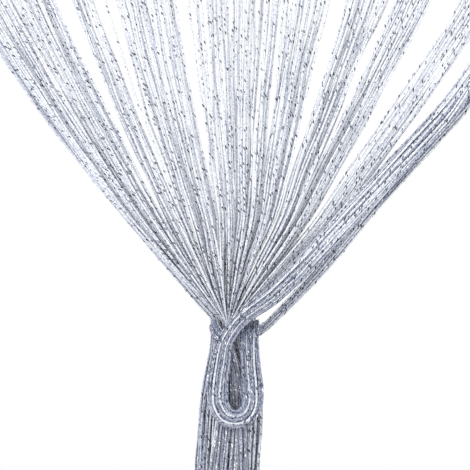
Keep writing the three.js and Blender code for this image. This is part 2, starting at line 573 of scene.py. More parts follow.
def shade(piece: bpy.types.Object, material: bpy.types.Material, smooth: bool = True) -> None:
    """Gives a piece its material and its smooth or flat shading.

    Args:
        piece: The piece.
        material: Its material.
        smooth: Whether its faces are shaded smooth.
    """
    piece.data.materials.clear()
    piece.data.materials.append(material)
    piece.data.polygons.foreach_set("use_smooth", np.full(len(piece.data.polygons), smooth))
    piece.data.update()


def store(piece: bpy.types.Object, name: str, values: np.ndarray) -> None:
    """Stores a number on each point of a piece."""
    layer = piece.data.attributes.new(name, "FLOAT", "POINT")
    layer.data.foreach_set("value", values.astype(np.float32).ravel())


def flatten_place(piece: bpy.types.Object) -> None:
    """Puts an object's place, turn and size into its mesh.

    Args:
        piece: The object.
    """
    bpy.ops.object.select_all(action="DESELECT")
    piece.select_set(True)
    bpy.context.view_layer.objects.active = piece
    bpy.ops.object.transform_apply(location=True, rotation=True, scale=True)


def unit(vectors: np.ndarray) -> np.ndarray:
    """Vectors of length one."""
    return vectors / np.linalg.norm(vectors, axis=-1, keepdims=True)


def lengths_along(lines: np.ndarray) -> np.ndarray:
    """How far along its string each point is."""
    return np.cumsum(np.linalg.norm(np.diff(lines, axis=1, prepend=lines[:, :1]), axis=2), axis=1)


def flowing(controls: np.ndarray, steps: Sequence[int]) -> np.ndarray:
    """Smooth lines through control points, for many strings at once.

    The tangent at each control point leans to the shorter of its two stretches, so a long straight
    stretch doesn't swing past a tight corner.

    Args:
        controls: Strings by control points by three.
        steps: How many steps each stretch between two control points is cut into.

    Returns:
        Strings by points by three.
    """
    chords = np.diff(controls, axis=1)
    lengths = np.linalg.norm(chords, axis=2, keepdims=True)
    slopes = chords / lengths
    before, after = lengths[:, :-1], lengths[:, 1:]
    inner = (slopes[:, :-1] * after + slopes[:, 1:] * before) / (before + after)
    tangents = np.concatenate([slopes[:, :1], inner, slopes[:, -1:]], axis=1)
    rows = []
    for stretch, count in enumerate(steps):
        t = np.arange(count)[None, :, None] / count
        p0, p1 = controls[:, stretch, None], controls[:, stretch + 1, None]
        m0 = tangents[:, stretch, None] * lengths[:, stretch, None]
        m1 = tangents[:, stretch + 1, None] * lengths[:, stretch, None]
        rows.append(
            (2 * t**3 - 3 * t**2 + 1) * p0
            + (t**3 - 2 * t**2 + t) * m0
            + (3 * t**2 - 2 * t**3) * p1
            + (t**3 - t**2) * m1
        )
    rows.append(controls[:, -1:])
    return np.concatenate(rows, axis=1)


def carried_frames(
    lines: np.ndarray, first: np.ndarray
) -> tuple[np.ndarray, np.ndarray, np.ndarray]:
    """Directions along, across and through each line, carried on without twist.

    Args:
        lines: Strings by points by three.
        first: The way across that the first point starts from.

    Returns:
        The directions along, across and through, each as strings by points by three.
    """
    along = unit(np.gradient(lines, axis=1))
    across = np.empty_like(along)
    side = first - along[:, 0] * np.sum(first * along[:, 0], axis=1, keepdims=True)
    across[:, 0] = unit(side)
    for index in range(1, lines.shape[1]):
        step = lines[:, index] - lines[:, index - 1]
        size = np.sum(step * step, axis=1, keepdims=True)
        held, ahead = across[:, index - 1], along[:, index - 1]
        held = held - step * (2 * np.sum(step * held, axis=1, keepdims=True) / size)
        ahead = ahead - step * (2 * np.sum(step * ahead, axis=1, keepdims=True) / size)
        turn = along[:, index] - ahead
        size = np.maximum(np.sum(turn * turn, axis=1, keepdims=True), TINY)
        held = held - turn * (2 * np.sum(turn * held, axis=1, keepdims=True) / size)
        leaning = np.sum(held * along[:, index], axis=1, keepdims=True)
        across[:, index] = unit(held - along[:, index] * leaning)
    return along, across, np.cross(along, across)


def carried_both_ways(
    lines: np.ndarray, start: int, first: np.ndarray
) -> tuple[np.ndarray, np.ndarray]:
    """Directions across and to the back of each line, carried from one point to both ends.

    Args:
        lines: Strings by points by three.
        start: The number of the point that the directions are known at.
        first: The way across at that point.

    Returns:
        The directions across and through, each as strings by points by three.
    """
    _, after, behind = carried_frames(lines[:, start:], first)
    if start == 0:
        return after, -behind
    _, before, ahead = carried_frames(lines[:, start::-1], first)
    across = np.concatenate([before[:, :0:-1], after], axis=1)
    return across, np.concatenate([ahead[:, :0:-1], -behind], axis=1)


# The heading


def arc(radius: float, middle: float, start: float, end: float, count: int) -> list[Pair]:
    """Points on part of a circle over the curtain's middle plane.

    Args:
        radius: The circle's radius.
        middle: The height of its centre.
        start: The first point's angle, in radians from the back.
        end: The last point's angle.
        count: How many points.

    Returns:
        Places as pairs of back and up.
    """
    angles = np.linspace(start, end, count)
    return [(radius * math.cos(angle), middle + radius * math.sin(angle)) for angle in angles]


@dataclass
class FoldedTape:
    """A band of woven tape that is folded about a line across the curtain, with both edges down.

    The section's path runs from the front edge up, over the fold and down to the back edge.
    """

    name: str
    width: float
    thickness: float
    section: list[Pair]
    columns: int = 250
    fewest_rows: int = 12
    row_step: float = 2.2 * MM
    half_step: float = 0.4 * MM
    ripple: float = 0.0
    ripples: tuple[Row, ...] = (
        (1.0, 41.0, 0.0, 0.7),
        (0.6, 97.0, 40.0, 0.0),
        (0.3, 233.0, 0.0, 0.0),
    )
    turned_end: float = 0.0
    end_rise: float = 0.45 * MM

    def __post_init__(self) -> None:
        """Measures the section's path."""
        self.path = np.array(self.section)
        steps = np.linalg.norm(np.diff(self.path, axis=0), axis=1)
        self.gone = np.concatenate([[0.0], np.cumsum(steps)])

    @property
    def cut_length(self) -> float:
        """The tape's own width before it is folded, which is the length of the section's path."""
        return float(self.gone[-1])

    def _at(self, along: np.ndarray) -> np.ndarray:
        """Places on the path, as rows of back and up, at distances from its front edge."""
        return np.stack([np.interp(along, self.gone, part) for part in self.path.T], axis=-1)

    def spot(
        self, across: np.ndarray, along: np.ndarray
    ) -> tuple[np.ndarray, np.ndarray, np.ndarray]:
        """Places on the tape's middle surface, with its ripples.

        Args:
            across: Places across the curtain.
            along: Distances along the path from its front edge.

        Returns:
            The places, the directions out of the tape, and the directions along the path.
        """
        near = self._at(np.clip(along - self.half_step, 0, self.cut_length))
        far = self._at(np.clip(along + self.half_step, 0, self.cut_length))
        way = unit(far - near)
        zero = np.zeros(len(way))
        along_path = np.stack([zero, way[:, 0], way[:, 1]], axis=1)
        out = np.stack([zero, -way[:, 1], way[:, 0]], axis=1)
        place = self._at(along)
        points = np.stack([across, place[:, 0], place[:, 1]], axis=1)
        return points + out * self._relief(across, along)[:, None], out, along_path

    def _relief(self, across: np.ndarray, along: np.ndarray) -> np.ndarray:
        """How far each point stands out of the path: soft ripples, and the turned-in ends.

        Args:
            across: Places across the curtain.
            along: Distances along the path from its front edge.

        Returns:
            The distances outwards.
        """
        loose = np.sin(math.pi * along / self.cut_length) ** 2
        waves = sum(
            size * np.sin(across * by_width + along * by_path + phase)
            for size, by_width, by_path, phase in self.ripples
        )
        turned = np.abs(across) > self.width / 2 - self.turned_end
        rise = self.end_rise if self.turned_end else 0.0
        return self.ripple * loose * waves / 2 + turned * rise

    def build(self) -> bpy.types.Object:
        """Folds a flat grid along the path and gives it its thickness.

        Returns:
            The tape.
        """
        rows = max(self.fewest_rows, round(self.cut_length / self.row_step))
        bpy.ops.object.select_all(action="DESELECT")
        bpy.ops.mesh.primitive_grid_add(x_subdivisions=self.columns, y_subdivisions=rows, size=1.0)
        tape = bpy.context.object
        tape.name = self.name
        tape.data.name = self.name
        flat = np.empty(len(tape.data.vertices) * 3)
        tape.data.vertices.foreach_get("co", flat)
        flat = flat.reshape(-1, 3)
        across = flat[:, 0] * self.width
        along = (flat[:, 1] + 0.5) * self.cut_length
        points, _, _ = self.spot(across, along)
        tape.data.vertices.foreach_set("co", points.ravel())
        corners = np.empty(len(tape.data.loops), dtype=np.int32)
        tape.data.loops.foreach_get("vertex_index", corners)
        spots = np.stack([across[corners], along[corners]], axis=1)
        tape.data.uv_layers.active.data.foreach_set("uv", spots.astype(np.float32).ravel())
        tape.data.update()
        wall = tape.modifiers.new("wall", "SOLIDIFY")
        wall.thickness = self.thickness
        wall.offset = 0.0
        bpy.ops.object.modifier_apply(modifier=wall.name)
        return tape


@dataclass
class Stitches:
    """Sewing on the face of a tape. One stitch is modelled and then repeated."""

    name: str
    length: float = 2.7 * MM
    thread: float = 0.32 * MM
    pitch: float = 3.3 * MM
    proud: float = 0.35
    segments: int = 5
    rings: int = 4
    places: list[np.ndarray] = field(default_factory=list)
    ways: list[np.ndarray] = field(default_factory=list)
    outs: list[np.ndarray] = field(default_factory=list)

    def row(self, tape: FoldedTape, along: float, reach: float, tilt: float = 0.0) -> None:
        """Lays a row of stitches across the curtain.

        Args:
            tape: The tape that they are sewn into.
            along: The row's distance along the tape's path.
            reach: How far the row goes to either side.
            tilt: How far each stitch turns from the row towards the path, in radians.
        """
        count = int(2 * reach / self.pitch)
        across = np.linspace(-reach, reach, count)
        points, out, path = tape.spot(across, np.full(count, along))
        way = np.cross(path, out)
        way = way * math.cos(tilt) + path * math.sin(tilt)
        self._add(tape, points, way, out)

    def rise(self, tape: FoldedTape, across: float, start: float, end: float) -> None:
        """Lays a row of stitches along the path, up the front and down the back.

        Args:
            tape: The tape.
            across: The row's place across the curtain.
            start: Where the row starts along the path.
            end: Where it ends.
        """
        count = int((end - start) / self.pitch)
        along = np.linspace(start, end, count)
        points, out, path = tape.spot(np.full(count, across), along)
        self._add(tape, points, path, out)

    def _add(self, tape: FoldedTape, points: np.ndarray, way: np.ndarray, out: np.ndarray) -> None:
        """Keeps stitches that lie on a tape's outer face.

        Args:
            tape: The tape.
            points: Places on the tape's middle surface.
            way: The stitches' directions.
            out: The directions out of the tape.
        """
        self.places.append(points + out * (tape.thickness / 2 + self.thread * self.proud))
        self.ways.append(way)
        self.outs.append(out)

    def build(self) -> bpy.types.Object:
        """Repeats one stitch at each place.

        Returns:
            The stitches as one piece.
        """
        bpy.ops.object.select_all(action="DESELECT")
        cuts = {"segments": self.segments, "ring_count": self.rings}
        bpy.ops.mesh.primitive_uv_sphere_add(radius=1.0, **cuts)
        bead = bpy.context.object
        shape = np.array([vertex.co[:] for vertex in bead.data.vertices])
        # A new sphere's faces come in any order, so they are sorted.
        corners = sorted(face.vertices[:] for face in bead.data.polygons)
        rings = [np.array([face for face in corners if len(face) == size]) for size in (3, 4)]
        bpy.data.objects.remove(bead)
        place, way, out = (np.concatenate(rows) for rows in (self.places, self.ways, self.outs))
        side = np.cross(out, way)
        points = (
            place[:, None]
            + side[:, None] * shape[None, :, 0:1] * self.thread
            + out[:, None] * shape[None, :, 1:2] * self.thread
            + way[:, None] * shape[None, :, 2:3] * self.length / 2
        )
        first = (np.arange(len(place)) * len(shape))[:, None, None]
        faces = [(first + ring[None]).reshape(-1, ring.shape[1]) for ring in rings]
        return new_piece(self.name, points.reshape(-1, 3), faces)


@dataclass
class Heading:
    """The rod pocket, and the narrow tape under it that the strings' tops are sewn into."""

    width: float = 1.0
    pocket_radius: float = 12.35 * MM
    pocket_wall: float = 1.3 * MM
    pocket_bend: int = 40
    pocket_bottom: float = -40 * MM
    hem_top: float = -35 * MM
    hem_layer: float = 0.75 * MM
    strip_wall: float = 0.8 * MM
    strip_layer: float = 1.1 * MM
    strip_bend: int = 9
    strip_top: float = -40.3 * MM
    strip_bottom: float = -48.3 * MM
    hem_rows: Pair = (1.6 * MM, 3.7 * MM)
    strip_rows: Pair = (1.6 * MM, 4.9 * MM)
    pocket_ripple: float = 0.9 * MM
    turned_end: float = 9 * MM
    strip_row_step: float = 1.4 * MM
    joining_length: float = 5.2 * MM
    joining_thread: float = 0.4 * MM
    joining_pitch: float = 7 * MM
    joining_row: float = 0.4 * MM
    joining_tilt: float = 1.35
    sewn_margin: float = 3 * MM
    end_margin: float = 6 * MM
    finish: TapeFinish = field(default_factory=TapeFinish)
    thread: ThreadFinish = field(default_factory=ThreadFinish)

    def _pocket(self) -> FoldedTape:
        """The tape round the rod's place, with its hem's two layers flat on each other.

        Returns:
            The tape, not yet built.
        """
        middle = -self.pocket_radius - self.pocket_wall / 2
        foot = math.hypot(self.hem_layer, self.hem_top - middle)
        lean = math.acos(self.pocket_radius / foot)
        start = math.atan2(self.hem_top - middle, -self.hem_layer) - lean + math.tau
        bend = arc(self.pocket_radius, middle, start, math.pi - start, self.pocket_bend)
        section = [(-self.hem_layer, self.pocket_bottom), (-self.hem_layer, self.hem_top), *bend]
        section += [(self.hem_layer, self.hem_top), (self.hem_layer, self.pocket_bottom)]
        return FoldedTape(
            "rod_pocket_tape",
            self.width,
            self.pocket_wall,
            section,
            ripple=self.pocket_ripple,
            turned_end=self.turned_end,
        )

    def _strip(self) -> FoldedTape:
        """The narrow folded tape that holds the strings' tops.

        Returns:
            The tape, not yet built.
        """
        middle = self.strip_top - self.strip_wall / 2 - self.strip_layer
        bend = arc(self.strip_layer, middle, math.pi, 0.0, self.strip_bend)
        bottom = self.strip_bottom
        section = [(-self.strip_layer, bottom), *bend, (self.strip_layer, bottom)]
        return FoldedTape(
            "string_header_tape",
            self.width,
            self.strip_wall,
            section,
            row_step=self.strip_row_step,
        )

    def _sew(
        self, sewing: Stitches, tape: FoldedTape, rows: Sequence[float], tilt: float = 0.0
    ) -> None:
        """Sews the same rows along both edges of a tape.

        Args:
            sewing: The stitches that the rows are added to.
            tape: The tape.
            rows: Each row's distance from the edge.
            tilt: How far each stitch turns from the row, in radians.
        """
        for along in (*rows, *(tape.cut_length - row for row in reversed(rows))):
            sewing.row(tape, along, self.width / 2 - self.sewn_margin, tilt)

    def build(self) -> tuple[list[bpy.types.Object], list[bpy.types.Object]]:
        """Builds both tapes and their sewing.

        Returns:
            The pieces of the pocket, and those of the header.
        """
        cloth, thread = self.finish.make(), self.thread.make()
        pocket, strip = self._pocket(), self._strip()
        hem_sewing = Stitches("hem_stitches")
        self._sew(hem_sewing, pocket, self.hem_rows)
        for across in (-self.width / 2 + self.end_margin, self.width / 2 - self.end_margin):
            hem_sewing.rise(pocket, across, self.end_margin, pocket.cut_length - self.end_margin)
        strip_sewing = Stitches("header_stitches")
        self._sew(strip_sewing, strip, self.strip_rows)
        joining = Stitches(
            "joining_stitches", self.joining_length, self.joining_thread, self.joining_pitch
        )
        self._sew(joining, pocket, [self.joining_row], self.joining_tilt)
        tapes = []
        for tape, held, sewing in (
            (pocket, "hung", [hem_sewing, joining]),
            (strip, "folded", [strip_sewing]),
        ):
            sheet = tape.build()
            shade(sheet, cloth)
            sewn = [row.build() for row in sewing]
            for piece in sewn:
                shade(piece, thread)
            tapes.append([sheet, *sewn])
        return tapes[0], tapes[1]


# The strings' routes


@dataclass(frozen=True)
class Bunch:
    """A stretch of the fan where strings lie close, as shares of the fan's width from the left."""

    start: float
    end: float
    fullness: float

    @property
    def weight(self) -> float:
        """How many strings it takes, against the other bunches."""
        return (self.end - self.start) * self.fullness


@dataclass(frozen=True)
class Level:
    """Where the strings that fall through the knot lie at one height."""

    height: float
    middle: float
    half_width: float


@dataclass
class Fan:
    """The strings' spread above the knot, and how they bunch in it."""

    edge_heights: Row = (0.0, 0.028, 0.068, 0.108, 0.148, 0.208, 0.268, 0.328)
    left_edge: Row = (0.018, 0.041, 0.076, 0.111, 0.144, 0.190, 0.234, 0.273)
    right_edge: Row = (0.038, 0.070, 0.106, 0.144, 0.179, 0.229, 0.276, 0.320)
    open_height: float = 0.325
    heights: Row = (0.60, 0.50, 0.41, 0.325, 0.26, 0.205, 0.155, 0.11)
    evened_heights: Row = (0.10, 0.15, 0.21, 0.27)
    bunched: Row = (0.2, 0.45, 0.85, 1.0)
    evening_reach: float = 7.0
    lean_step: float = 30 * MM
    focus: Pair = (5 * MM, 5 * MM)
    straight_shares: Row = (0.40, 0.645, 0.75, 0.82, 0.875, 0.93)
    straightness: Row = (0.0, 0.5, 0.65, 0.7, 0.42, 0.0)
    bunches: tuple[Bunch, ...] = (
        Bunch(0.012, 0.079, 1.5),
        Bunch(0.079, 0.118, 0.9),
        Bunch(0.118, 0.166, 1.5),
        Bunch(0.192, 0.231, 1.5),
        Bunch(0.247, 0.251, 1.0),
        Bunch(0.264, 0.371, 1.0),
        Bunch(0.391, 0.429, 0.6),
        Bunch(0.429, 0.514, 1.0),
        Bunch(0.519, 0.543, 1.4),
        Bunch(0.551, 0.629, 1.0),
        Bunch(0.659, 0.721, 1.5),
        Bunch(0.737, 0.800, 1.4),
        Bunch(0.846, 0.905, 1.1),
    )

    def across(self, share: np.ndarray, height: float) -> np.ndarray:
        """Place across the fan at a height above the knot, for shares of its width.

        Strings near the edges bow with them, and those right of the middle run straight to the knot.

        Args:
            share: The strings' shares of the width.
            height: A height above the knot.

        Returns:
            Places across, from the knot's reference point.
        """
        left = np.interp(height, self.edge_heights, self.left_edge)
        right = np.interp(height, self.edge_heights, self.right_edge)
        bowed = -left + share * (left + right)
        top = -self.left_edge[-1] + share * (self.left_edge[-1] + self.right_edge[-1])
        aim, low = self.focus
        line = aim + (top - aim) * (height - low) / (self.edge_heights[-1] - low)
        return bowed + np.interp(share, self.straight_shares, self.straightness) * (line - bowed)

    def shares(self, count: int) -> np.ndarray:
        """Shares of the fan's width for a number of strings, bunched as the table says.

        Args:
            count: How many strings.

        Returns:
            Their shares, from left to right.
        """
        weights = np.array([bunch.weight for bunch in self.bunches])
        ends = np.cumsum(weights)
        places = (np.arange(count) + 0.5) / count * ends[-1]
        index = np.searchsorted(ends, places)
        rest = places - (ends - weights)[index]
        starts = np.array([bunch.start for bunch in self.bunches])
        fullness = np.array([bunch.fullness for bunch in self.bunches])
        return starts[index] + rest / fullness[index]

    def evened(self, share: np.ndarray, height: float) -> np.ndarray:
        """Lets the bunches spread into each other towards the knot.

        Args:
            share: The strings' shares of the open fan's width, from left to right.
            height: A height above the knot.

        Returns:
            Their shares at that height.
        """
        index = np.arange(len(share))
        weights = np.exp(-(((index[:, None] - index) / self.evening_reach) ** 2) / 2)
        even = weights @ share / weights.sum(axis=1)
        keep = np.interp(height, self.evened_heights, self.bunched)
        return even + (share - even) * keep

    def descent(
        self, share: np.ndarray, roots: np.ndarray, root_height: float, heights: Sequence[float]
    ) -> np.ndarray:
        """Places across the fan at several heights.

        Args:
            share: Each string's share of the width in the open fan.
            roots: Each string's place across at its root.
            root_height: The roots' height above the knot.
            heights: The heights that are wanted.

        Returns:
            Strings by heights.
        """
        rows = []
        top = root_height - self.open_height
        start = self.across(share, self.open_height)
        lean = (start - self.across(share, self.open_height - self.lean_step)) / self.lean_step
        bend = (roots - start - lean * top) / top**2
        for height in heights:
            rise = height - self.open_height
            if rise > 0:
                rows.append(start + lean * rise + bend * rise**2)
            else:
                rows.append(self.across(self.evened(share, height), height))
        return np.stack(rows, axis=1)


@dataclass
class Band:
    """Strings that run side by side and in layers along one middle line."""

    name: str
    wide: int
    deep: int
    wide_pitch: float
    deep_pitch: float
    line: tuple[Point, ...]
    tail: tuple[Point, ...]
    tail_back: float
    shares: Pair
    fan_back: float
    start: tuple[int, Point]
    spread_places: Row
    spread: Row
    # Painted shade along the band's middle line: darker where it lies under other strings or deep in
    # the knot.
    shade_places: Row
    painted_shade: Row

    @property
    def count(self) -> int:
        """How many strings it has."""
        return self.wide * self.deep

    def slots(self) -> tuple[np.ndarray, np.ndarray]:
        """Each string's column and its layer from front to back, about the middle ones."""
        index = np.arange(self.count)
        return index // self.deep - (self.wide - 1) / 2, index % self.deep - (self.deep - 1) / 2


@dataclass
class Run:
    """Many strings as smooth lines, with what each point needs to be made a mesh."""

    name: str
    lines: np.ndarray
    tightness: np.ndarray
    # Painted shade on each point, from 0 to 1, for strings deep in a bundle or sunk behind others.
    packed_shade: np.ndarray
    tone: np.ndarray


@dataclass(frozen=True)
class StringShade:
    """How pale or dark each string is as a whole, and how dark its points lie, which is painted shade
    for points deep in a bundle or sunk behind their neighbours.
    """

    tone_waves: tuple[Pair, ...] = ((1.0, 13.0), (0.8, 29.0))
    tone_alike: float = 0.3
    tone_own: float = 0.4
    painted_edge_shade: float = 2.6
    edge_strings: float = 11.0
    # The fields from here on set the painted shade on the strings' points.
    sunk_share: float = 0.4
    sunk_shade: float = 0.92
    depth_rate: float = 2.2
    front_shade: float = 0.26
    most_by_depth: float = 0.9
    heights: Row = (-1.2, -0.5, 0.0, 0.05, 0.15)
    by_height: Row = (0.9, 1.0, 0.75, 0.3, 0.0)
    lane_chances: Pair = (0.14, 0.8)
    lane_shades: Pair = (0.5, 1.0)
    knot_start: Pair = (0.04, 0.14)
    layer_rate: float = 0.55
    most_by_layer: float = 0.75
    tail_rate: float = 0.9
    tail_shade: float = 0.1
    knot_rate: float = 1.3
    lane_in_knot: float = 0.95
    darkest: float = 0.95

    def tones(self, count: int, middle: float, random: np.random.Generator) -> np.ndarray:
        """How pale or dark each string is, with neighbours partly alike.

        Args:
            count: How many strings.
            middle: The mean.
            random: The source of random draws.

        Returns:
            A number for each string, which is higher for a paler one.
        """
        turns = np.arange(count) * math.tau
        phases = random.uniform(0, math.tau, len(self.tone_waves))
        alike = sum(
            size * np.sin(turns / strings + phase)
            for (size, strings), phase in zip(self.tone_waves, phases)
        )
        return middle + self.tone_alike * alike + random.normal(0.0, self.tone_own, count)

    def edge(self, count: int) -> np.ndarray:
        """How much darker the tone of each string is, from the fan's left edge on: a painted shade
        that fades towards the right.
        """
        return self.painted_edge_shade * np.exp(-np.arange(count) / self.edge_strings)

    def falling(
        self, lines: np.ndarray, buried: np.ndarray, random: np.random.Generator
    ) -> np.ndarray:
        """The painted shade on each point of the falling strings, darker where they lie deep in the
        neck or sink behind their neighbours.

        Args:
            lines: Strings by points by three, from the knot's reference point.
            buried: How deep inside its bundle each string is, from 0 to 1.
            random: The source of random draws.

        Returns:
            A share from 0 to 1 for each point.
        """
        sunk = random.uniform(0, 1, len(lines)) < self.sunk_share
        by_depth = np.clip(buried * self.depth_rate + self.front_shade, 0, self.most_by_depth)
        own = np.maximum(by_depth, sunk * self.sunk_shade)
        return own[:, None] * np.interp(lines[:, :, 2], self.heights, self.by_height)

    def winding(
        self, band: Band, sinking: np.ndarray, span: slice, length: int, random: np.random.Generator
    ) -> np.ndarray:
        """The painted shade on each point of a band.

        Every other lane is darker, with painted shade. In the knot and the tail, strings get darker
        painted shade with their depth, and the band's own table adds painted shade along its line.

        Args:
            band: The band.
            sinking: How far back in the band each string lies.
            span: Which of the strings' points lie on the band's middle line.
            length: How many points each string has.
            random: The source of random draws.

        Returns:
            A share from 0 to 1 for each point.
        """
        below = sinking / band.deep_pitch + (band.deep - 1) / 2
        buried = np.clip(below * self.layer_rate, 0, self.most_by_layer)[:, None]
        lane = np.arange(band.count) // band.deep % 2
        dark = random.uniform(0, 1, band.count) < np.array(self.lane_chances)[lane]
        painted_lane_shade = (random.uniform(*self.lane_shades, band.count) * dark)[:, None]
        place = np.linspace(0, 1, span.stop - span.start)
        knotted = np.interp(place, self.knot_start, [0.0, 1.0])
        own = np.interp(place, band.shade_places, band.painted_shade)
        in_knot = buried * self.knot_rate + own + painted_lane_shade * self.lane_in_knot
        packed_shade = np.tile(buried * self.tail_rate + self.tail_shade, (1, length))
        packed_shade[:, : span.start] = painted_lane_shade
        packed_shade[:, span] = painted_lane_shade * (1 - knotted) + in_knot * knotted
        return np.clip(packed_shade, 0, self.darkest)


@dataclass
class StringRoutes:
    """Works out where every string goes, from its root in the header to its free end."""

    width: float = 1.0
    margin: float = 5 * MM
    root_height: float = 0.7017
    root_sink: float = 3 * MM
    root_hang: float = 6 * MM
    length: float = 1.95
    uneven_end: float = 6 * MM
    knot: Point = (-15 * MM, 0.0, -0.750)
    fan: Fan = field(default_factory=Fan)
    wander_heights: Row = (0.11, 0.2, 0.325, 0.6)
    wander: Row = (0.5 * MM, 0.75 * MM, 1.3 * MM, 1.9 * MM)
    gather_heights: Row = (0.11, 0.45, 0.7017)
    gathered: Row = (1.0, 0.45, 0.0)
    hold_reach: float = 0.05
    hold_under_root: float = 10 * MM
    free_above: float = 0.6
    free_below: float = 0.9
    waves: tuple[Pair, ...] = ((0.23, 0.9 * MM), (0.09, 0.5 * MM), (0.037, 0.22 * MM))
    layers: int = 16
    widest: int = 17
    roundness: float = 0.9
    layer_pitch: float = 1.58 * MM
    funnel_drop: float = 12.0
    entry_shares: Row = (0.55, 0.10)
    entry_wander: float = 1.6 * MM
    front_layers: int = 3
    front_pull: Row = (0.34, 0.45, 0.9)
    front_middle: float = -1.5 * MM
    front_drop: float = 7 * MM
    front_lift: float = 1.2 * MM
    neck_levels: int = 3
    neck_ragged: float = 0.15 * MM
    tail_ragged: float = 0.9 * MM
    band_tone: float = -0.1
    band_fan_points: int = 5
    band_steps: int = 4
    band_jitter: float = 0.28 * MM
    band_rove: float = 0.35 * MM
    band_turns: float = 2.5
    band_ragged: float = 0.7 * MM
    sunk_share: float = 0.5
    sunk_layers: float = -1.0
    sunk_depth: float = 1.3 * MM
    levels: tuple[Level, ...] = (
        Level(12 * MM, -5.5 * MM, 14.0 * MM),
        Level(-12 * MM, -5.5 * MM, 14.0 * MM),
        Level(-60 * MM, -0.5 * MM, 27.0 * MM),
        Level(-160 * MM, -4 * MM, 30.5 * MM),
        Level(-420 * MM, -4 * MM, 33.0 * MM),
        Level(-800 * MM, -4 * MM, 36.0 * MM),
    )
    end_level: Level = Level(-1.25, -4 * MM, 39.5 * MM)
    fan_steps: tuple[int, ...] = (6, 6, 6, 6, 5, 4, 4, 4)
    level_steps: tuple[int, ...] = (4, 5, 4, 6, 9, 10, 16, 16, 16)
    band_tail_steps: tuple[int, ...] = (5, 8, 16, 14, 16)
    loop: Band = field(
        default_factory=lambda: Band(
            name="loop",
            wide=10,
            deep=5,
            wide_pitch=1.72 * MM,
            deep_pitch=1.6 * MM,
            line=(
                (0.210, -0.006, 0.210),
                (0.120, -0.0145, 0.1145),
                (0.041, -0.0225, 0.033),
                (0.006, -0.0245, 0.005),
                (-0.0058, -0.025, -0.014),
                (-0.0098, -0.0265, -0.034),
                (-0.0130, -0.028, -0.057),
                (-0.0118, -0.028, -0.0755),
                (-0.0055, -0.028, -0.0848),
                (0.0042, -0.028, -0.0878),
                (0.0138, -0.028, -0.0848),
                (0.0196, -0.028, -0.0755),
                (0.0207, -0.028, -0.057),
                (0.0190, -0.026, -0.034),
                (0.0184, -0.0220, -0.013),
                (0.0188, -0.0145, 0.0015),
                (0.0192, -0.002, 0.0058),
                (0.0190, 0.0105, 0.0020),
                (0.0184, 0.0175, -0.010),
                (0.0170, 0.0190, -0.026),
            ),
            tail=(
                (-0.070, 0.009, 0.0112),
                (-0.170, 0.0, 0.0150),
                (-0.45, -0.003, 0.018),
                (-0.70, -0.004, 0.020),
            ),
            tail_back=0.019,
            shares=(0.932, 0.976),
            fan_back=-0.006,
            start=(9, (0.0, 0.0, 1.0)),
            spread_places=(0.0, 0.105, 0.158, 0.20, 0.26, 0.32, 0.47, 0.63, 0.74, 1.0),
            spread=(1.25, 1.05, 0.82, 0.92, 1.18, 1.22, 0.96, 1.16, 1.02, 1.0),
            shade_places=(0.12, 0.20, 0.60, 0.70, 0.75, 0.79),
            painted_shade=(0.2, 0.17, 0.2, 0.2, 0.5, 1.2),
        )
    )
    wrap: Band = field(
        default_factory=lambda: Band(
            name="wrap",
            wide=8,
            deep=3,
            wide_pitch=1.65 * MM,
            deep_pitch=1.6 * MM,
            line=(
                (0.222, 0.007, 0.210),
                (0.140, 0.0105, 0.1185),
                (0.0745, 0.0135, 0.0405),
                (0.0475, 0.0150, 0.0130),
                (0.0335, 0.0165, -0.0005),
                (0.0230, 0.0180, -0.0060),
                (0.0100, 0.0192, -0.0030),
                (-0.0040, 0.0178, 0.0025),
                (-0.0125, 0.0130, 0.0058),
                (-0.0170, 0.0050, 0.0062),
                (-0.0172, -0.0060, 0.0022),
                (-0.0137, -0.0145, -0.0045),
                (-0.0078, -0.0172, -0.0125),
                (-0.0030, -0.0172, -0.0235),
            ),
            tail=(
                (-0.065, 0.0, 0.0105),
                (-0.165, -0.004, 0.0185),
                (-0.45, -0.004, 0.022),
                (-0.80, -0.004, 0.024),
            ),
            tail_back=-0.0165,
            shares=(0.962, 1.0),
            fan_back=0.007,
            start=(0, (0.7, 0.0, -0.7)),
            spread_places=(0.0, 0.16, 0.25, 0.33, 0.45, 0.6, 1.0),
            spread=(1.1, 0.72, 0.62, 0.62, 0.8, 0.95, 1.0),
            shade_places=(0.15, 0.35, 0.6),
            painted_shade=(0.0, 0.1, 0.6),
        )
    )
    shade: StringShade = field(default_factory=StringShade)
    seed: int = 7

    def __post_init__(self) -> None:
        """Starts the random draws and deals the strings' roots out along the header."""
        self.random = np.random.default_rng(self.seed)
        self.counts = self._layer_counts()
        self.through_count = int(self.counts.sum())
        self.total = self.through_count + self.loop.count + self.wrap.count
        reach = self.width / 2 - self.margin
        self.roots = np.linspace(-reach, reach, self.total)

    def _layer_counts(self) -> np.ndarray:
        """How many strings lie in each layer of the neck, which is round in section."""
        place = (np.arange(self.layers) - (self.layers - 1) / 2) / (self.layers / 2)
        return np.round(self.widest * np.sqrt(1 - self.roundness * place**2)).astype(int)

    def _deal(self) -> tuple[np.ndarray, np.ndarray]:
        """Deals strings out to layers in turn, each keeping its order from left to right.

        Returns:
            Each string's column about the middle of its layer, and its layer about the middle one.
        """
        credit = np.zeros(self.layers)
        dealt = np.zeros(self.layers)
        columns, layers = [], []
        for _ in range(self.through_count):
            credit += self.counts
            layer = int(np.argmax(credit))
            credit[layer] -= self.through_count
            stagger = (layer % 2 - 0.5) / 2
            columns.append(dealt[layer] - (self.counts[layer] - 1) / 2 + stagger)
            layers.append(layer - (self.layers - 1) / 2)
            dealt[layer] += 1
        return np.array(columns), np.array(layers)

    def _place(self, points: np.ndarray) -> np.ndarray:
        """Moves points from the knot's reference point to the curtain's frame."""
        return points + np.array(self.knot)

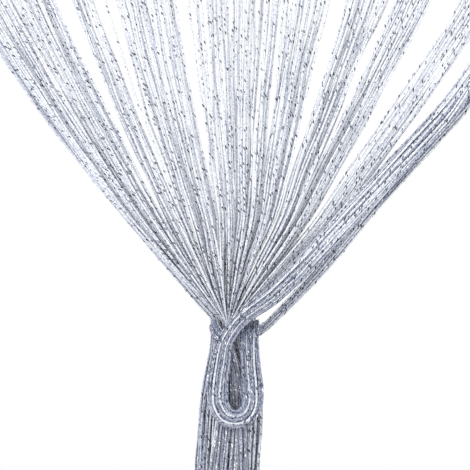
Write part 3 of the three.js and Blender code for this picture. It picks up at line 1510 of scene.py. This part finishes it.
    def _local_roots(self, first: int, count: int) -> np.ndarray:
        """Places of some roots across, from the knot's reference point."""
        return self.roots[first : first + count] - self.knot[0]

    def _fan_controls(
        self, share: np.ndarray, roots: np.ndarray, back: np.ndarray, last: int
    ) -> np.ndarray:
        """Control points from the root down the fan.

        Args:
            share: Each string's share of the open fan's width.
            roots: Each string's place across at its root.
            back: How far back each string lies where the fan closes.
            last: How many of the fan's heights are used.

        Returns:
            Strings by control points by three.
        """
        heights = self.fan.heights[:last]
        wander = self.random.normal(0.0, 1.0, (len(share), len(heights)))
        across = self.fan.descent(share, roots, self.root_height, heights)
        across = across + wander * np.interp(heights, self.wander_heights, self.wander)
        rows = []
        for height in (self.root_height + self.root_sink, self.root_height - self.root_hang):
            rows.append(np.stack([roots, np.zeros_like(roots), np.full_like(roots, height)], axis=1))
        for index, height in enumerate(heights):
            behind = back * np.interp(height, self.gather_heights, self.gathered)
            rows.append(np.stack([across[:, index], behind, np.full_like(roots, height)], axis=1))
        return np.stack(rows, axis=1)

    def _hang_ends(self, controls: np.ndarray, across: np.ndarray, back: np.ndarray) -> np.ndarray:
        """Adds each string's free end where its length runs out.

        Args:
            controls: Strings by control points by three.
            across: Each free end's place across.
            back: Each free end's place to the back.

        Returns:
            The control points with one more each.
        """
        used = np.linalg.norm(np.diff(controls, axis=1), axis=2).sum(axis=1) - self.root_sink
        uneven = self.random.uniform(-self.uneven_end, self.uneven_end, len(controls))
        ends = np.stack([across, back, controls[:, -1, 2] - (self.length - used) + uneven], axis=1)
        return np.concatenate([controls, ends[:, None]], axis=1)

    def _settle(self, lines: np.ndarray) -> tuple[np.ndarray, np.ndarray]:
        """Lets strings wander a little where nothing holds them.

        Args:
            lines: Strings by points by three, from the knot's reference point.

        Returns:
            The moved lines, and how tightly each point is held, from 0 to 1.
        """
        height = lines[:, :, 2]
        sewn = height > self.root_height - self.hold_under_root
        tight = np.clip(np.exp(-((height / self.hold_reach) ** 2)) + sewn, 0.0, 1.0)
        free = np.where(height > 0, self.free_above, self.free_below) * (1 - tight)
        gone = lengths_along(lines)
        for wavelength, size in self.waves:
            for axis in Axis:
                phase = self.random.uniform(0, math.tau, (len(lines), 1))
                lines[:, :, axis.value] += size * free * np.sin(math.tau * gone / wavelength + phase)
        return lines, tight

    def through(self) -> Run:
        """The strings that fall straight through the knot, darker at the fan's left edge with a
        painted shade.

        Returns:
            Their lines.
        """
        columns, layers = self._deal()
        back = layers * self.layer_pitch
        share = self.fan.shares(self.through_count)
        roots = self._local_roots(0, self.through_count)
        fan = self._fan_controls(share, roots, back, len(self.fan.heights))
        neck = self._neck_controls(columns, layers, back)
        spare = self.random.normal(0.0, 1.0, (len(self.entry_shares), len(columns)))
        entries = []
        for part, wander in zip(self.entry_shares, spare):
            entry = neck[:, 0] + (fan[:, -1] - neck[:, 0]) * part
            entry[:, 0] += wander * part * self.entry_wander
            entries.append(entry)
        controls = np.concatenate([fan, np.stack(entries, axis=1), neck], axis=1)
        out = columns * self.end_level.half_width / ((self.widest - 1) / 2)
        controls = self._hang_ends(controls, self.end_level.middle + out, back)
        steps = (1, *self.fan_steps, *self.level_steps)
        lines, tight = self._settle(flowing(controls, steps))
        buried = 1 - np.sqrt((columns / (self.widest / 2)) ** 2 + (layers / (self.layers / 2)) ** 2)
        packed_shade = self.shade.falling(lines, np.clip(buried, 0, 1), self.random)
        tones = self.shade.tones(len(lines), 0.0, self.random) - self.shade.edge(len(lines))
        return Run("through", self._place(lines), tight, packed_shade, tones)

    def _neck_controls(
        self, columns: np.ndarray, layers: np.ndarray, back: np.ndarray
    ) -> np.ndarray:
        """Control points from the neck down the tail.

        The front layers draw together in the neck, in front of the others.

        Args:
            columns: Each string's column about the middle.
            layers: Each string's layer about the middle.
            back: How far back each string lies.

        Returns:
            Strings by control points by three.
        """
        half = (self.widest - 1) / 2
        front = layers < self.front_layers - self.layers / 2
        rows = []
        for index, level in enumerate(self.levels):
            out = columns * level.half_width / half
            spot = level.middle + out
            if index < len(self.front_pull):
                pulled = self.front_middle + (spot - self.front_middle) * self.front_pull[index]
                spot = np.where(front, pulled, spot)
            drop = np.zeros_like(out)
            if index == 0:
                drop = self.funnel_drop * out**2 + front * self.front_drop
            ragged = self.random.normal(0.0, 1.0, (2, len(columns)))
            ragged *= self.neck_ragged if index < self.neck_levels else self.tail_ragged
            depth = back - np.where(front & (index < 2), self.front_lift, 0.0)
            rows.append(np.stack([spot + ragged[0], depth + ragged[1], level.height - drop], axis=1))
        return np.stack(rows, axis=1)

    def _winding(
        self, band: Band, columns: np.ndarray, layers: np.ndarray
    ) -> tuple[np.ndarray, np.ndarray]:
        """Lays a band's strings beside its middle line through the knot.

        Args:
            band: The band.
            columns: Each string's column about the middle one.
            layers: Each string's layer about the middle one.

        Returns:
            Strings by control points by three, and how far back in the band each string lies.
        """
        guide = flowing(np.array([band.line]), [self.band_steps] * (len(band.line) - 1))
        first_point, first_way = band.start
        start = first_point * self.band_steps
        across, through = carried_both_ways(guide, start, np.array([first_way]))
        place = np.linspace(0, 1, guide.shape[1])
        open_up = np.interp(place, band.spread_places, band.spread)
        jitter = self.random.normal(0.0, self.band_jitter, (band.count, 1, 2))
        turns = place * self.band_turns + self.random.uniform(0, 1, (band.count, 1))
        rove = np.sin(math.tau * turns) * open_up * self.band_rove
        sideways = (columns * band.wide_pitch)[:, None] * open_up + jitter[:, :, 0] + rove
        sunk = self.random.uniform(0, 1, band.count) < self.sunk_share
        lower = np.where(sunk & (layers < self.sunk_layers), self.sunk_depth, 0.0)
        sinking = layers * band.deep_pitch + lower
        deep = sinking[:, None] + jitter[:, :, 1]
        return guide + sideways[:, :, None] * across + deep[:, :, None] * through, sinking

    def banded(self, band: Band, first: int) -> Run:
        """The strings of a band that winds through the knot.

        Args:
            band: The band.
            first: The number of its first root along the header.

        Returns:
            Their lines.
        """
        columns, layers = band.slots()
        winding, sinking = self._winding(band, columns, layers)
        share = np.linspace(*band.shares, band.count)
        roots = self._local_roots(first, band.count)
        fan_back = band.fan_back + layers * band.deep_pitch
        fan = self._fan_controls(share, roots, fan_back, self.band_fan_points)
        rows = [fan, winding]
        back = band.tail_back - layers * band.deep_pitch
        half = (band.wide - 1) / 2
        for height, centre, half_width in band.tail:
            ragged = self.random.normal(0.0, self.band_ragged, band.count)
            spot = centre - columns * half_width / half + ragged
            rows.append(np.stack([spot, back, np.full_like(spot, height)], axis=1)[:, None])
        controls = np.concatenate(rows, axis=1)
        controls = self._hang_ends(controls, controls[:, -1, 0], back)
        in_fan = (1, *self.fan_steps[: self.band_fan_points], self.band_steps)
        steps = (*in_fan, *([1] * (winding.shape[1] - 1)), *self.band_tail_steps)
        lines, tight = self._settle(flowing(controls, steps))
        span = slice(sum(in_fan), sum(in_fan) + winding.shape[1])
        packed_shade = self.shade.winding(band, sinking, span, lines.shape[1], self.random)
        tones = self.shade.tones(band.count, self.band_tone, self.random)
        return Run(band.name, self._place(lines), tight, packed_shade, tones)

    def runs(self) -> list[Run]:
        """Works out all the strings, in the order of their roots.

        Returns:
            The falling strings, the loop's band and the wrapping band.
        """
        loop_start = self.through_count
        wrap_start = loop_start + self.loop.count
        return [self.through(), self.banded(self.loop, loop_start), self.banded(self.wrap, wrap_start)]


# The fringe


@dataclass
class StringFringe:
    """The loose strings: round soft cords with slivers of foil and short fibres on them."""

    seed: int = 21
    most_in_a_piece: int = 120
    sides: int = 6
    radius: float = 1.12 * MM
    knot_radius: float = 0.82 * MM
    swelling: float = 0.06
    swelling_pitch: float = 17 * MM
    glint_spacing: float = 34 * MM
    glint_half_lengths: Pair = (1.3 * MM, 2.2 * MM)
    glint_half_widths: Pair = (0.36 * MM, 0.55 * MM)
    glint_half_depth: float = 0.13 * MM
    glint_lift: float = 0.12 * MM
    glint_slants: Pair = (0.25, 0.6)
    glint_tilt: float = 0.25
    fibre_spacing: float = 19 * MM
    fibre_lengths: Pair = (1.3 * MM, 2.9 * MM)
    fibre_lean: float = 1.2
    fibre_foot: float = 0.36 * MM
    fibre_root: float = 0.8
    fibre_tones: Pair = (0.2, 0.8)
    routes: StringRoutes = field(default_factory=StringRoutes)
    finish: StringFinish = field(default_factory=StringFinish)
    foils: tuple[tuple[Glint, FoilFinish, float], ...] = (
        # The dark foil is the silver film with a painted dark reflection as its colour; the bright
        # foil has the film's own silver.
        (Glint.DARK, FoilFinish("dark_foil", (0.05, 0.06, 0.09), 0.3), 1.0),
        (Glint.BRIGHT, FoilFinish("bright_foil", (0.92, 0.94, 1.0), 0.18), 2.6),
    )

    def build(self) -> list[bpy.types.Object]:
        """Builds every string, its foil and its fibres.

        Returns:
            The pieces.
        """
        random = np.random.default_rng(self.seed)
        material = self.finish.make()
        pieces = []
        runs = self.routes.runs()
        for run in runs:
            count = len(run.lines)
            parts = np.array_split(np.arange(count), math.ceil(count / self.most_in_a_piece))
            for number, part in enumerate(parts):
                ending = f"_{number + 1}" if len(parts) > 1 else ""
                piece = self._cords(f"{run.name}_strings{ending}", run, part, random)
                shade(piece, material)
                pieces.append(piece)
        for glint, finish, sparser in self.foils:
            piece = self._slivers(f"{glint.value}_foil", runs, self.glint_spacing * sparser, random)
            shade(piece, finish.make(), smooth=False)
            pieces.append(piece)
        piece = self._fibres(runs, random)
        shade(piece, material)
        pieces.append(piece)
        return pieces

    def _cords(
        self, name: str, run: Run, part: np.ndarray, random: np.random.Generator
    ) -> bpy.types.Object:
        """Round cords along lines, closed at both ends.

        Args:
            name: The piece's name.
            run: The strings.
            part: Which of them are made.
            random: The source of random draws.

        Returns:
            The piece, with its map and its attributes.
        """
        lines, tight = run.lines[part], run.tightness[part]
        count, length = lines.shape[:2]
        _, across, through = carried_frames(lines, np.tile([0.0, 1.0, 0.0], (count, 1)))
        angle = np.arange(self.sides) * math.tau / self.sides
        radius = self.radius + (self.knot_radius - self.radius) * tight
        gone = lengths_along(lines)
        phase = random.uniform(0, math.tau, (count, 1))
        radius = radius * (1 + self.swelling * np.sin(math.tau * gone / self.swelling_pitch + phase))
        cosine, sine = np.cos(angle)[:, None], np.sin(angle)[:, None]
        ring = across[:, :, None] * cosine + through[:, :, None] * sine
        points = lines[:, :, None] + ring * radius[:, :, None, None]
        base = (np.arange(count) * length * self.sides)[:, None, None]
        row = (np.arange(length - 1) * self.sides)[None, :, None]
        side = np.arange(self.sides)[None, None, :]
        after = (side + 1) % self.sides
        near, far = base + row, base + row + self.sides
        quads = np.stack([near + side, near + after, far + after, far + side], axis=-1)
        top, bottom = side[0, :, ::-1], (length - 1) * self.sides + side[0]
        caps = np.concatenate([base[:, 0] + top, base[:, 0] + bottom])
        piece = new_piece(name, points.reshape(-1, 3), [quads.reshape(-1, 4), caps])
        self._map_cords(piece, gone, count, length)
        repeat = length * self.sides
        store(piece, "tone", np.repeat(run.tone[part], repeat))
        store(piece, "chance", np.repeat(random.uniform(0, 1, count), repeat))
        store(piece, "packed_shade", np.repeat(run.packed_shade[part], self.sides))
        return piece

    def _map_cords(self, piece: bpy.types.Object, gone: np.ndarray, count: int, length: int) -> None:
        """Lays the piece's map: once round each string, and its length in metres along it.

        Args:
            piece: The piece.
            gone: Strings by points, the length run at each point.
            count: How many strings.
            length: How many points each has.
        """
        side = np.arange(self.sides)
        around = np.stack([side, side + 1, side + 1, side], axis=-1) / self.sides
        near, far = gone[:, :-1, None], gone[:, 1:, None]
        along = np.stack([near, near, far, far], axis=-1)
        shape = (count, length - 1, self.sides, 4)
        body = [np.broadcast_to(part, shape) for part in (around, along)]
        body = np.stack(body, axis=-1).reshape(-1, 2)
        ends = np.zeros((2 * count * self.sides, 2))
        layer = piece.data.uv_layers.new(name="thread_map")
        layer.data.foreach_set("uv", np.concatenate([body, ends]).astype(np.float32).ravel())

    def _spots(
        self, runs: Sequence[Run], spacing: float, random: np.random.Generator
    ) -> tuple[np.ndarray, np.ndarray, np.ndarray]:
        """Random places on the strings, at an even rate along them.

        Args:
            runs: The strings.
            spacing: The mean distance between two places on one string.
            random: The source of random draws.

        Returns:
            The middle of the string at each place, and the directions along and out of it.
        """
        middles, alongs, outs = [], [], []
        for run in runs:
            steps = np.diff(run.lines, axis=1)
            sizes = np.linalg.norm(steps, axis=2)
            chances = sizes.ravel() / sizes.sum()
            number = int(sizes.sum() / spacing)
            chosen = random.choice(len(chances), number, p=chances)
            string, step = np.unravel_index(chosen, sizes.shape)
            way = random.uniform(0, 1, (number, 1))
            along = unit(steps[string, step])
            turned = unit(np.cross(along, random.normal(0, 1, (number, 3))))
            middles.append(run.lines[string, step] + steps[string, step] * way)
            alongs.append(along)
            outs.append(turned)
        return np.concatenate(middles), np.concatenate(alongs), np.concatenate(outs)

    def _slivers(
        self, name: str, runs: Sequence[Run], spacing: float, random: np.random.Generator
    ) -> bpy.types.Object:
        """Flat slivers of foil that lie slanted on the strings.

        Args:
            name: The piece's name.
            runs: The strings.
            spacing: The mean distance between two slivers on one string.
            random: The source of random draws.

        Returns:
            The piece.
        """
        middle, along, out = self._spots(runs, spacing, random)
        number = len(middle)
        slant = random.uniform(*self.glint_slants, (number, 1))
        lean = unit(along * np.cos(slant) + np.cross(out, along) * np.sin(slant))
        flat = np.cross(lean, out)
        half_length = random.uniform(*self.glint_half_lengths, (number, 1))
        half_width = random.uniform(*self.glint_half_widths, (number, 1))
        centre = middle + out * (self.radius + self.glint_lift)
        tilt = random.uniform(-self.glint_tilt, self.glint_tilt, (number, 1))
        tip = (lean + out * tilt) * half_length
        edge = flat * half_width
        face = out * self.glint_half_depth
        corners = np.stack([centre + way for way in (-tip, edge, tip, -edge, face, -face)], axis=1)
        first = (np.arange(number) * corners.shape[1])[:, None]
        faces = []
        for side, after in ((0, 1), (1, 2), (2, 3), (3, 0)):
            faces += [first + np.array([after, side, 4]), first + np.array([side, after, 5])]
        return new_piece(name, corners.reshape(-1, 3), faces)

    def _fibres(self, runs: Sequence[Run], random: np.random.Generator) -> bpy.types.Object:
        """Short loose fibres that stand out of the strings.

        Args:
            runs: The strings.
            random: The source of random draws.

        Returns:
            The piece.
        """
        middle, along, out = self._spots(runs, self.fibre_spacing, random)
        number = len(middle)
        lean = random.uniform(-self.fibre_lean, self.fibre_lean, (number, 1))
        tip = unit(out + along * lean) * random.uniform(*self.fibre_lengths, (number, 1))
        foot = middle + out * self.radius * self.fibre_root
        side = np.cross(along, out) * self.fibre_foot
        rise = along * self.fibre_foot
        corners = [foot + rise, foot - rise / 2 + side, foot - rise / 2 - side, foot + tip]
        size = len(corners)
        corners = np.stack(corners, axis=1)
        first = (np.arange(number) * size)[:, None]
        faces = [first + np.array(face) for face in ((0, 1, 2), (1, 0, 3), (2, 1, 3), (0, 2, 3))]
        piece = new_piece("loose_fibres", corners.reshape(-1, 3), faces)
        store(piece, "tone", np.repeat(random.normal(*self.fibre_tones, number), size))
        store(piece, "chance", np.repeat(random.uniform(0, 1, number), size))
        store(piece, "packed_shade", np.zeros(number * size))
        return piece


# Studio


@dataclass
class Studio:
    """White paper, soft lights and the camera."""

    view_width: float = 0.470
    camera_distance: float = 1.80
    sensor: float = 36.0
    aim: Pair = (-11 * MM, -0.657)
    floor_height: float = -2.06
    floor_size: float = 9.0
    floor_cells: int = 8
    world_strength: float = 1.0
    lights: tuple[tuple[str, Point, float, float], ...] = (
        ("key_light", (-1.5, -2.0, 0.4), 1.6, 40.0),
        ("fill_light", (1.8, -1.6, -0.6), 1.8, 10.0),
    )

    def build(self) -> None:
        """Sets up the floor, the world, the lights and the camera."""
        self._floor()
        self._world()
        for light in self.lights:
            self._light(*light)
        self._camera()
        bpy.context.scene.view_settings.view_transform = "Standard"

    def _floor(self) -> None:
        """A sheet of paper under the curtain."""
        cells = {"x_subdivisions": self.floor_cells, "y_subdivisions": self.floor_cells}
        bpy.ops.mesh.primitive_grid_add(size=self.floor_size, **cells)
        floor = bpy.context.object
        floor.name = "floor"
        floor.location = (0, 0, self.floor_height)
        flatten_place(floor)
        shade(floor, WallFinish().make())

    def _world(self) -> None:
        """Even white light from all around."""
        world = bpy.data.worlds.new("studio")
        world.use_nodes = True
        sky = world.node_tree.nodes["Background"]
        sky.inputs["Color"].default_value = (1.0, 1.0, 1.0, 1.0)
        sky.inputs["Strength"].default_value = self.world_strength
        bpy.context.scene.world = world

    def _light(self, name: str, place: Point, size: float, power: float) -> None:
        """A square soft light that faces the middle of the view.

        Args:
            name: The light's name.
            place: Where it stands.
            size: The length of its sides.
            power: Its power in watts.
        """
        data = bpy.data.lights.new(name, "AREA")
        data.shape = "SQUARE"
        data.size = size
        data.energy = power
        light = bpy.data.objects.new(name, data)
        light.location = place
        aim = np.array([self.aim[0], 0.0, self.aim[1]]) - np.array(place)
        yaw = math.atan2(aim[0], -aim[1])
        pitch = math.atan2(math.hypot(aim[0], aim[1]), -aim[2])
        light.rotation_euler = (pitch, 0.0, yaw + math.pi)
        bpy.context.collection.objects.link(light)

    def _camera(self) -> None:
        """The photo's view: straight on, level, and centred a little above the knot."""
        data = bpy.data.cameras.new("camera")
        data.sensor_width = self.sensor
        data.lens = self.sensor * self.camera_distance / self.view_width
        camera = bpy.data.objects.new("camera", data)
        camera.location = (self.aim[0], -self.camera_distance, self.aim[1])
        camera.rotation_euler = (math.pi / 2, 0.0, 0.0)
        bpy.context.collection.objects.link(camera)
        bpy.context.scene.camera = camera


def main() -> None:
    """Builds the curtain's pieces in order."""
    logging.basicConfig(level=logging.INFO, format="%(name)s: %(message)s")
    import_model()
    Studio().build()
    pocket_pieces, header_pieces = Heading().build()
    string_pieces = StringFringe().build()
    fitted = (
        (pocket_pieces, "tape", "rod_sleeve"),
        (header_pieces, "tape", "string_fringe"),
        (string_pieces, "string", "string_fringe"),
    )
    for pieces, slot, node in fitted:
        for piece in pieces:
            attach(piece, "root")
            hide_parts(node)
            LOG.info("%s: %d faces", piece.name, len(piece.data.polygons))


if __name__ == "__main__":
    main()
